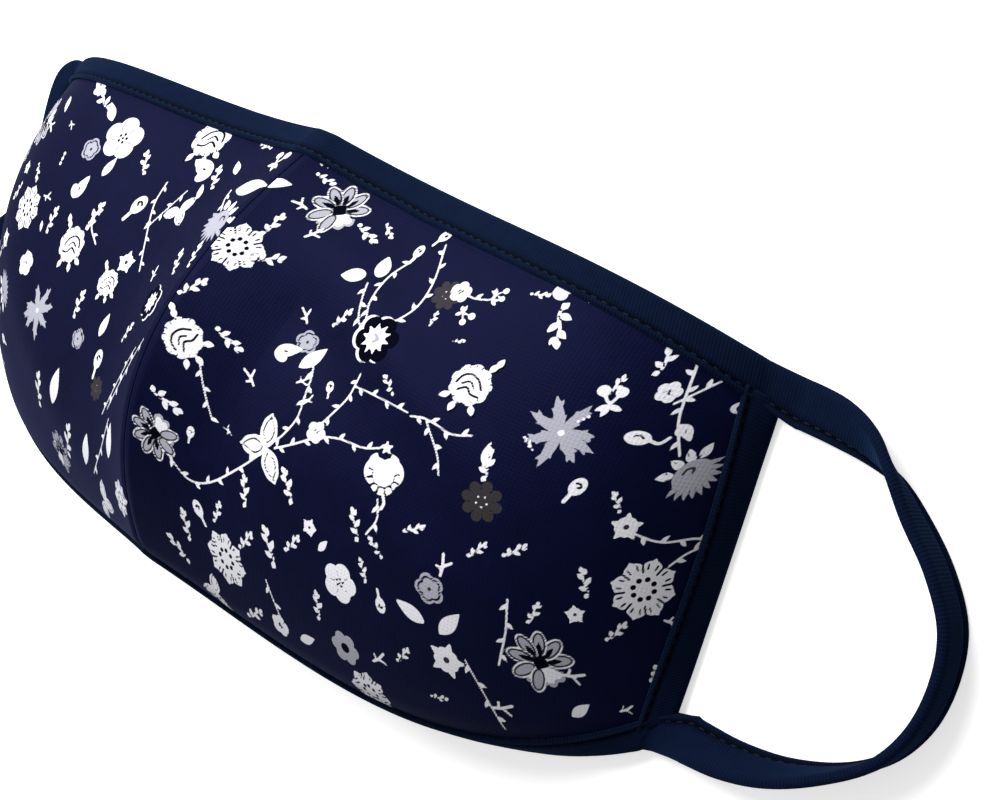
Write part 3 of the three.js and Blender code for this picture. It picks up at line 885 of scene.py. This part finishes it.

# The look of the knit: fine ribs across the tape, crossed by rows of stitches, with painted shade in the
# groove.
rib_pitch, course_pitch = 0.36, 0.45
knit_dark, knit_light = (0.0003, 0.0009, 0.004, 1), (0.0022, 0.0060, 0.023, 1)
# The colour of the painted shade in the groove.
knit_painted_groove_shade = (0.0003, 0.0006, 0.002, 1)
knit, tree, shader = nodes_of("navy_knit", 0.9)
tape_map = node(tree, "ShaderNodeUVMap", uv_map="tape").outputs[0]
tone = node(tree, "ShaderNodeTexNoise", {"Vector": tape_map, "Scale": 40.0, "Detail": 3.0}).outputs[0]
wave = {"Vector": tape_map, "Distortion": 0.6, "Detail": 1.0, "Scale": wave_scale(tape_map_width, rib_pitch)}
ribs = node(tree, "ShaderNodeTexWave", wave, bands_direction="X").outputs[1]
wave.update({"Distortion": 1.5, "Scale": wave_scale(tape_map_width, course_pitch)})
courses = node(tree, "ShaderNodeTexWave", wave, bands_direction="Y").outputs[1]
courses = node(tree, "ShaderNodeMapRange", {"Value": courses, 3: 0.7, 4: 1.0}).outputs[0]
stitch_tone = node(tree, "ShaderNodeMath", {0: ribs, 1: courses}, operation="MULTIPLY").outputs[0]
lit = node(tree, "ShaderNodeMath", {0: stitch_tone, 1: tone}, operation="ADD").outputs[0]
colour = blend(tree, lit, knit_dark, knit_light)
# Painted shade: the knit's colour is darkened toward near-black navy where the section lies in a groove.
painted_groove_shade = node(tree, "ShaderNodeAttribute", attribute_name="painted_groove_shade").outputs["Fac"]
colour = blend(tree, painted_groove_shade, colour, knit_painted_groove_shade)
tree.links.new(colour, shader.inputs["Base Color"])
soft_fuzz(shader, 0.10, (0.12, 0.38, 1.0, 1))
shader.inputs["Specular IOR Level"].default_value = 0.04
relief = node(tree, "ShaderNodeMath", {0: ribs, 1: courses}, operation="ADD").outputs[0]
bump = node(tree, "ShaderNodeBump", {"Height": relief, "Strength": 0.5, "Distance": 0.0001})
tree.links.new(bump.outputs[0], shader.inputs["Normal"])
band.data.materials.append(knit)
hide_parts("top_binding", "bottom_binding", "ear_loop_left", "ear_loop_right")
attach(band, "root")

# Ear-edge tapes. The same knit, a short length folded over each ear edge, with its ends caught
# under the nose and chin tapes.
ear_edge_length, under = 74.6, 2.5
first = (tape_reach - under) / ear_edge_length
side_bindings, ear_edge_points = {}, {}
for side in ("left", "right"):
    points = on_edge("ear", side, np.linspace(first, 1 - first, 60), mask_ring)
    points[..., 2] = np.maximum(points[..., 2], off_the_table)
    thing = skin(f"ear_edge_tape_{side}", points, close_ends=True)
    thing.data.materials.append(knit)
    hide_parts(f"side_binding_{side}")
    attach(thing, "root")
    side_bindings[side], ear_edge_points[side] = thing, points

# Topstitches. Navy thread in a row of short stitches that sinks into the knit just behind the
# folded-in edge, all the way round the long strip and down both ear edges.
stitch_pitch, stitch_length, thread, look_ahead = 2.5, 1.75, 0.42, 0.5
groove = slice(5, 7)  # the two lowest places of the tape's section


def row_of_stitches(bm, face_points):
    """Short rounded stitches, each lying along the groove."""
    way = face_points[:, groove].mean(1)
    gone = np.concatenate([[0], np.cumsum(np.linalg.norm(np.diff(way, axis=0), axis=1))])
    for at in np.arange(stitch_pitch / 2, gone[-1], stitch_pitch):
        here = np.array([np.interp(at, gone, way[:, k]) for k in range(3)])
        ahead = np.array([np.interp(at + look_ahead, gone, way[:, k]) for k in range(3)]) - here
        turn = Vector(ahead).to_track_quat("X", "Z").to_matrix().to_4x4()
        size = Matrix.Diagonal((stitch_length / 2 * mm, thread / 2 * mm, thread / 2 * mm, 1))
        bmesh.ops.create_uvsphere(bm, u_segments=6, v_segments=5, radius=1,
                                  matrix=Matrix.Translation(here * mm) @ turn @ size)


thread_cover, tree, shader = nodes_of("navy_thread", 0.75)
thread_map = node(tree, "ShaderNodeTexCoord").outputs["Object"]
wave = {"Vector": thread_map, "Scale": 900.0, "Distortion": 1.0}
twist = node(tree, "ShaderNodeTexWave", wave, bands_direction="DIAGONAL").outputs[1]
colour = blend(tree, twist, (0.0010, 0.0025, 0.010, 1), (0.003, 0.009, 0.030, 1))
tree.links.new(colour, shader.inputs["Base Color"])
shader.inputs["Specular IOR Level"].default_value = 0.15
bump = node(tree, "ShaderNodeBump", {"Height": twist, "Strength": 0.4, "Distance": 0.0001})
tree.links.new(bump.outputs[0], shader.inputs["Normal"])
for name, face_points in {"strip": band_points, **ear_edge_points}.items():
    bm = bmesh.new()
    row_of_stitches(bm, face_points)
    thing = link(f"topstitches_{name}", bm)
    thing.data.materials.append(thread_cover)
    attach(thing, "root")

# Table and light. A white table in an even white room, under one large soft light from the nose
# side. Both look plain white from the camera, but throw less light than that on the mask.
paper_seen, paper_felt, paper_glow = 0.9, 0.30, 0.55
room_seen, room_felt = 1.0, 0.36
bm = bmesh.new()
bmesh.ops.create_grid(bm, x_segments=1, y_segments=1, size=40)
table = link("table", bm)
paper, tree, shader = nodes_of("white_paper", 0.9)
shader.inputs["Emission Color"].default_value = (1, 1, 1, 1)
seen = node(tree, "ShaderNodeLightPath").outputs["Is Camera Ray"]
tree.links.new(node(tree, "ShaderNodeMapRange", {"Value": seen, 3: paper_felt, 4: paper_seen}).outputs[0],
               shader.inputs["Base Color"])
tree.links.new(node(tree, "ShaderNodeMath", {0: seen, 1: paper_glow}, operation="MULTIPLY").outputs[0],
               shader.inputs["Emission Strength"])
table.data.materials.append(paper)
lamp = bpy.data.objects.new("softbox", bpy.data.lights.new("softbox", "AREA"))
lamp.data.shape = "DISK"
lamp.data.size = 0.5
lamp.data.energy = 6.3
lamp.location = (-0.20, 0.34, 0.46)
lamp_aim = Vector((0.03, 0, 0.02))
lamp.rotation_euler = (lamp_aim - lamp.location).to_track_quat("-Z", "Y").to_euler()
scene.collection.objects.link(lamp)
world = bpy.data.worlds.new("room")
world.use_nodes = True
world.node_tree.nodes["Background"].inputs[0].default_value = (1, 1, 1, 1)
room = world.node_tree
seen = node(room, "ShaderNodeLightPath").outputs["Is Camera Ray"]
room.links.new(node(room, "ShaderNodeMapRange", {"Value": seen, 3: room_felt, 4: room_seen}).outputs[0],
               room.nodes["Background"].inputs["Strength"])
scene.world = world
scene.view_settings.view_transform = "Standard"
